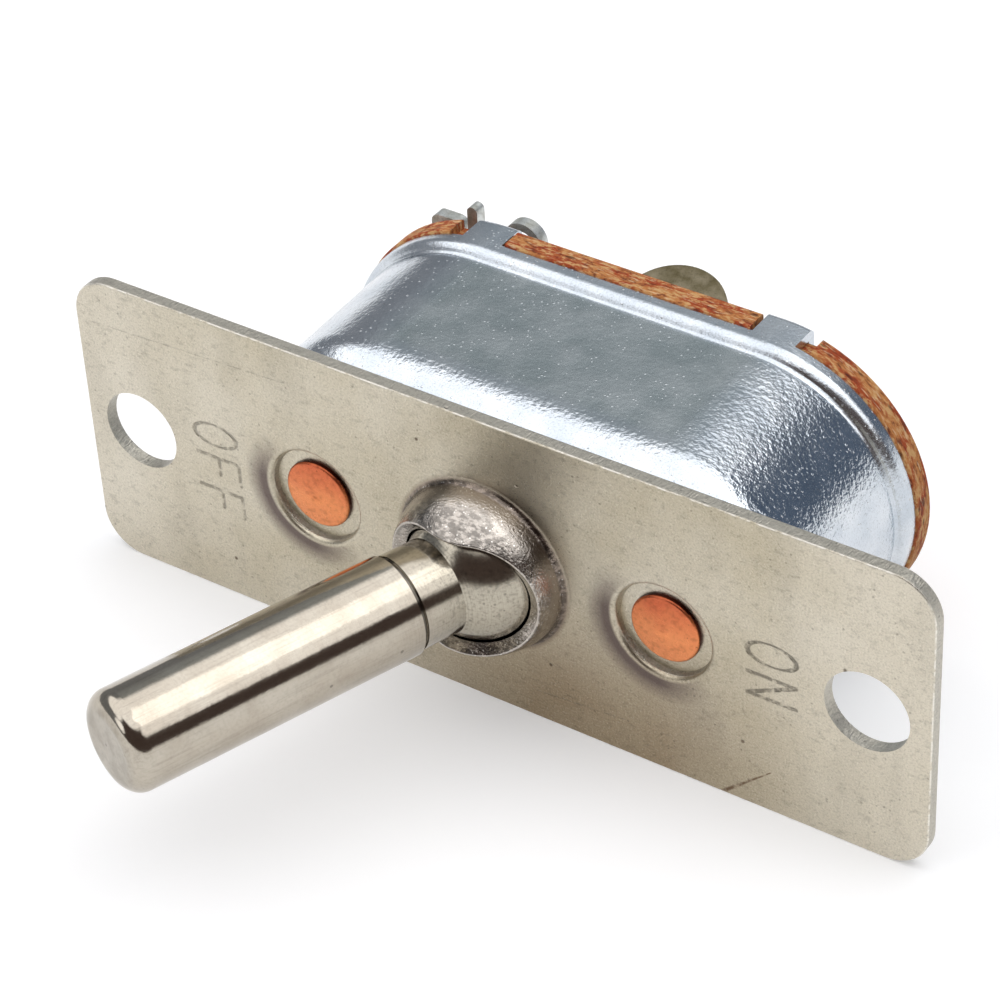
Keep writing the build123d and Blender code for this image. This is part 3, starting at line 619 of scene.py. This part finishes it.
# The upper side of each head is painted darker red as shade, made uneven by soft blotches.
uneven_shade_height = calc(tree, "ADD", z_at, calc(tree, "MULTIPLY", copper_blotches, 2.0))
colour = blend(tree, spread(tree, uneven_shade_height, 0.6, 3.0), orange_copper, shaded_copper)
colour = darken(tree, colour, spread(tree, dimples, 0.5, 0.7), 0.2)
colour = darken(tree, colour, specks(tree, place, 0.5, 0.35, 0.10), 0.4)
# The steep rim of each head is painted nearly black as shade.
colour = blend(tree, spread(tree, facing, 0.45, 0.15), colour, rim_shade_black)
tree.links.new(colour, shader.inputs["Base Color"])
tree.links.new(spread(tree, dimples, 0.3, 0.7, 0.24, 0.4), shader.inputs["Roughness"])
relief(tree, shader, (copper_blotches, 0.06), (dimples, 0.015))
dress(copper, "plate_rivet_left", "plate_rivet_right")

# %% [markdown]
# ## Vulcanised fibre
# The board that closes the cup, and the small insulators inside, are pressed paper fibre: red
# brown, dull, and ragged where the press tool cut them, with light and dark chips lying flat in
# the sheet. The chips and the light shreds are drawn out along the board and stay thin across
# its thickness, so both patterns are stretched along X and Z and squeezed along Y.

# %% Finish of the fibre
dull_surface = {"Roughness": 0.75, "Specular IOR Level": 0.35}
fibre, tree, shader, place = new_finish("fibre_board", **dull_surface)
pulp_orange, pulp_red = (0.52, 0.205, 0.06, 1), (0.38, 0.062, 0.013, 1)
chip_light, chip_dark = (0.62, 0.36, 0.145, 1), (0.13, 0.022, 0.008, 1)
shred_pale = (0.70, 0.48, 0.27, 1)
flat_place = stretched(tree, place, along_x=1.9, along_y=0.7, along_z=1.9)
thread_place = stretched(tree, place, along_x=3.5, along_y=0.7, along_z=3.5)
chips = noise(tree, flat_place, 0.42, detail=5.0, roughness=0.7)
pulp = noise(tree, flat_place, 1.0, detail=3.0)
shreds = noise(tree, thread_place, 0.24, detail=3.0)
colour = blend(tree, spread(tree, pulp, 0.42, 0.58), pulp_orange, pulp_red)
colour = blend(tree, spread(tree, chips, 0.49, 0.41), colour, chip_light)
colour = blend(tree, spread(tree, chips, 0.54, 0.62, 0.0, 0.85), colour, chip_dark)
colour = blend(tree, spread(tree, shreds, 0.58, 0.68, 0.0, 0.85), colour, shred_pale)
colour = darken(tree, colour, specks(tree, flat_place, 0.6, 0.4, 0.26), 0.6)
tree.links.new(colour, shader.inputs["Base Color"])
relief(tree, shader, (pulp, 0.18), (chips, 0.16), (shreds, 0.05))
dress(fibre, "base_board", "off_stop", "insulating_liner")

# %% [markdown]
# ## Terminals and inner metals
# The terminals are thick steel with a zinc coat: grey and dull on the one with the claws, and
# tarnished to an olive brown on the lug. Inside, the seat, the plunger and its spring are plain
# steel, and what carries current is brass. All four are one network: a clean metal and a worn
# one in soft patches, with a dullness of its own. So a loop over a table makes them. A row
# of the table gives the clean metal, the worn one, the dullness and the pieces made of it.

# %% Finish of the terminals and inner metals
METALS = {
    "terminal_zinc": (
        (0.66, 0.68, 0.66, 1), (0.40, 0.40, 0.35, 1), 0.50,
        ["on_terminal"],
    ),
    "tarnished_zinc": (
        (0.18, 0.155, 0.105, 1), (0.105, 0.088, 0.048, 1), 0.38,
        ["common_terminal"],
    ),
    "plain_steel": (
        (0.52, 0.51, 0.50, 1), (0.36, 0.35, 0.34, 1), 0.38,
        ["ball_seat", "plunger", "plunger_spring", "rocker_pin"],
    ),
    "contact_brass": (
        (0.78, 0.56, 0.24, 1), (0.52, 0.34, 0.14, 1), 0.38,
        ["rocker_contact", "rocker_support", "on_contact", "moving_contact_button",
         "fixed_contact_button", "stop_rivet", "common_rivet_left", "common_rivet_right",
         "on_rivet_upper", "on_rivet_lower"],
    ),
}
for name, (clean, worn, dullness, nodes) in METALS.items():
    metal, tree, shader, place = new_finish(name, Metallic=1.0)
    wear = noise(tree, place, 1.0, detail=4.0)
    grain = noise(tree, place, 0.12, detail=3.0)
    colour = blend(tree, spread(tree, wear, 0.38, 0.65), clean, worn)
    colour = darken(tree, colour, spread(tree, grain, 0.5, 0.75), 0.28)
    tree.links.new(colour, shader.inputs["Base Color"])
    gloss = spread(tree, wear, 0.3, 0.7, dullness - 0.1, dullness + 0.1)
    tree.links.new(gloss, shader.inputs["Roughness"])
    relief(tree, shader, (wear, 0.03), (grain, 0.007))
    dress(metal, *nodes)

# %% [markdown]
# ## Spring inside the lever
# A small coil spring pushes the plunger out of the lever. A solid that rides on a body keeps its
# length, so the plunger would run through the coil as it slides in. A copy of the coil stands in
# for the solid: it rides on the lever with a mesh of its own, and the CAD coil is hidden. The
# model's record says where the coil's fixed end is, which way the plunger pushes, and how far it
# slides.

# %% A copy of the coil on the lever
coil = put_in_scene("spring_coil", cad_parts["plunger_spring"].data.copy())
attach(coil, "lever")
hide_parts("plunger_spring")
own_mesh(coil)

# %% [markdown]
# ## Studio
# Metal shows its surroundings, so the surroundings are part of the finish. The object lies in a
# white tent that is open at the sides: white paper below and behind, a dark room through the
# openings above it, and a bright roof. That dark band between two light ones is what gives
# round metal its crisp stripes. A window on the right, a wide panel on the left and a small
# lamp in front break the band, and the room is darkest and warmest on the camera's side, bluish
# at the back right and pale at the back. The paper shines a little to the camera, and just as
# much in mirrors, so that it comes out white and still keeps the object's shadow. For the
# camera the white reaches higher up than it does for the metal.

# %% Floor
reach = 30.0
corners = [(-reach, -reach, 0), (reach, -reach, 0), (reach, reach, 0), (-reach, reach, 0)]
floor_mesh = bpy.data.meshes.new("floor")
floor_mesh.from_pydata(corners, [], [(0, 1, 2, 3)])
floor = put_in_scene("floor", floor_mesh)
floor.location.z = low.z
floor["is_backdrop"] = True
paper, tree, shader, _ = new_finish("floor_paper", Roughness=0.9)
paper_grey, glow_white, glow = (0.80, 0.80, 0.80, 1), (1, 1, 1, 1), 0.28
shader.inputs["Base Color"].default_value = paper_grey
shader.inputs["Emission Color"].default_value = glow_white
ray = add(tree, "ShaderNodeLightPath").outputs
seen = any_of(tree, ray["Is Camera Ray"], ray["Is Glossy Ray"], ray["Is Transmission Ray"])
own_light = calc(tree, "MULTIPLY", seen, glow)
tree.links.new(own_light, shader.inputs["Emission Strength"])
floor_mesh.materials.append(paper)
print("floor", 2 * reach, "m wide at z", round(low.z / MM, 2), "mm")

# %% Start the world and find directions in it
world = bpy.data.worlds.new("studio")
bpy.context.scene.world = world
world.use_nodes = True
tree = world.node_tree
tree.nodes.clear()
direction = add(tree, "ShaderNodeTexCoord").outputs["Generated"]
height = parts(tree, direction)["Z"]


def patch(azimuth_deg, elevation_deg, inner_deg, outer_deg):
    """1 round one direction, fading to 0 at outer_deg; azimuth turns from +Y towards +X."""
    closeness = vector(tree, "DOT_PRODUCT", direction, tuple(toward(azimuth_deg, elevation_deg)))
    return spread(tree, closeness, cos(radians(outer_deg)), cos(radians(inner_deg)))


def above(low_deg, high_deg):
    """0 below one height over the horizon, rising to 1 at another."""
    return spread(tree, height, sin(radians(low_deg)), sin(radians(high_deg)))


print("world started:", world.name)

# %% Room, roof and lamps of the world
room_grey, room_dark = (0.24, 0.25, 0.27, 1), (0.085, 0.062, 0.056, 1)
room_blue, room_pale = (0.10, 0.13, 0.18, 1), (0.40, 0.43, 0.45, 1)
lamp_white, paper_white = (1.63, 1.63, 1.66, 1), (1.0, 1.0, 1.0, 1)
room = blend(tree, patch(130, 10, 60, 90), room_grey, room_dark)
room = blend(tree, patch(35, 15, 15, 40), room, room_blue)
room = blend(tree, patch(-20, 38, 12, 28), room, room_pale)

roof = above(46, 54)
window = all_of(tree, patch(80, 40, 15, 21), above(27, 30))
left_panel = all_of(tree, patch(-112, 38, 30, 36), above(29, 33))
front_lamp = patch(-150, 20, 7, 14)
room = blend(tree, any_of(tree, roof, window, left_panel, front_lamp), room, lamp_white)

top_mirrored, top_seen = sin(radians(3)), sin(radians(10))
ray = add(tree, "ShaderNodeLightPath").outputs
paper_top = spread(tree, ray["Is Camera Ray"], 0.0, 1.0, top_mirrored, top_seen)
above_paper = calc(tree, "GREATER_THAN", height, paper_top)
sky = blend(tree, above_paper, paper_white, room)
background = add(tree, "ShaderNodeBackground", {"Color": sky, "Strength": 1.0})
add(tree, "ShaderNodeOutputWorld", {"Surface": background.outputs[0]})
print("world:", len(tree.nodes), "nodes")


# %% Lamps
def softbox(name, azimuth_deg, elevation_deg, distance_m, width_m, power_w):
    """A square lamp that faces the object; azimuth turns from +Y towards +X."""
    data = bpy.data.lights.new(name, "AREA")
    data.size = width_m
    data.energy = power_w
    lamp = put_in_scene(name, data)
    away = toward(azimuth_deg, elevation_deg)
    lamp.location = away * distance_m
    lamp.rotation_mode = "QUATERNION"
    lamp.rotation_quaternion = away.to_track_quat("Z", "Y")
    print(name, "at", [round(v, 2) for v in lamp.location])


softbox("roof_softbox", 60, 66, distance_m=0.8, width_m=0.45, power_w=0.6)

# %% [markdown]
# ## Size
# The size is printed, so that it can be compared with the CAD model's box.

# %% Finish
low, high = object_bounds()
print("size in mm:", [round((top - bottom) / MM, 2) for bottom, top in zip(low, high)])
